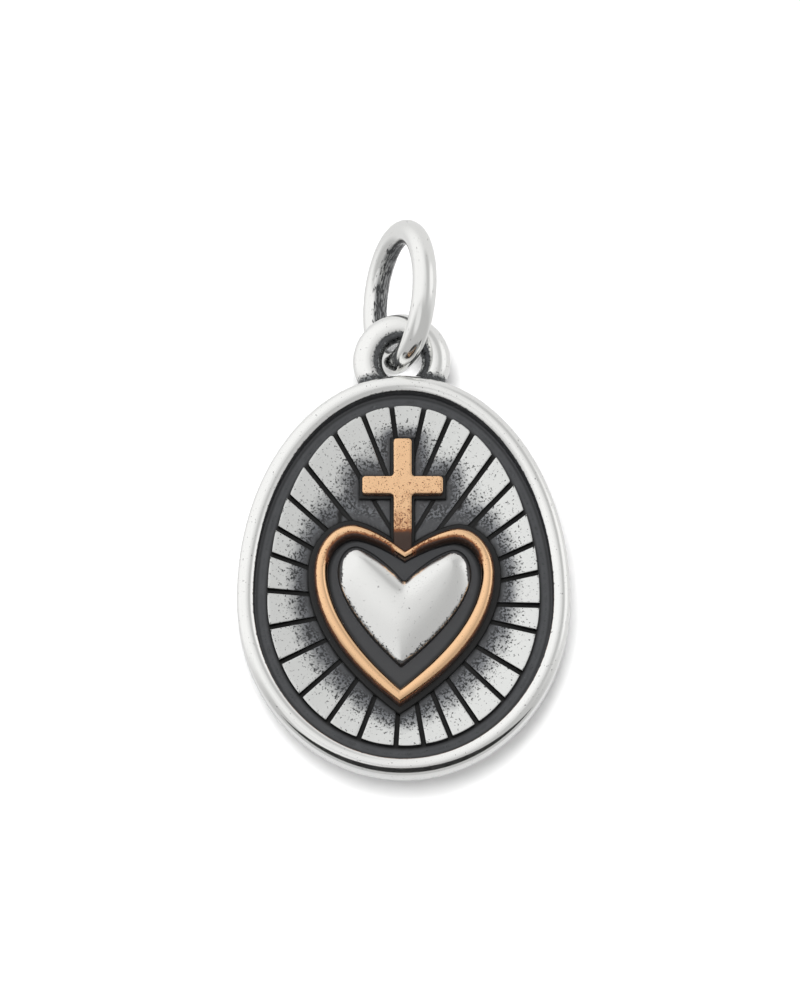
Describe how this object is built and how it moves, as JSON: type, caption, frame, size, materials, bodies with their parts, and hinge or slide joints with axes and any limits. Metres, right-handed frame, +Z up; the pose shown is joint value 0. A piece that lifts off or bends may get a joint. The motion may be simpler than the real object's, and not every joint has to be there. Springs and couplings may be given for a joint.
{
  "type": "sacred heart pendant",
  "caption": "Small egg-shaped silver medal with rays, a puffed heart and a bronze heart and cross, hanging by its eye from a loose jump ring.",
  "frame": {"origin": "where a chain bears, on the inside of the jump ring at its top", "axes": "+Z up, as it hangs; -Y out of the medal's face; +X to the viewer's right"},
  "size_m": [0.015, 0.0066, 0.0256],
  "materials": {
    "antiqued_silver": "cast sterling silver, polished on the high places, blackened in the sunk ones",
    "bronze": "cast bronze, polished on top, blackened at its foot and edges",
    "silver_wire": "polished sterling silver wire, dull grey on its inside"
  },
  "bodies": {
    "ring": {"jump_ring": "silver_wire"},
    "medal": {"medal": "antiqued_silver", "heart_and_cross": "bronze"}
  },
  "joints": [
    {"name": "swing", "type": "hinge", "parent": "ring", "child": "medal", "pos_m": [0.00001, -0.0001, -0.00393], "axis": [0.9266, 0.3746, -0.0324], "range_deg": [-34, 25]}
  ]
}
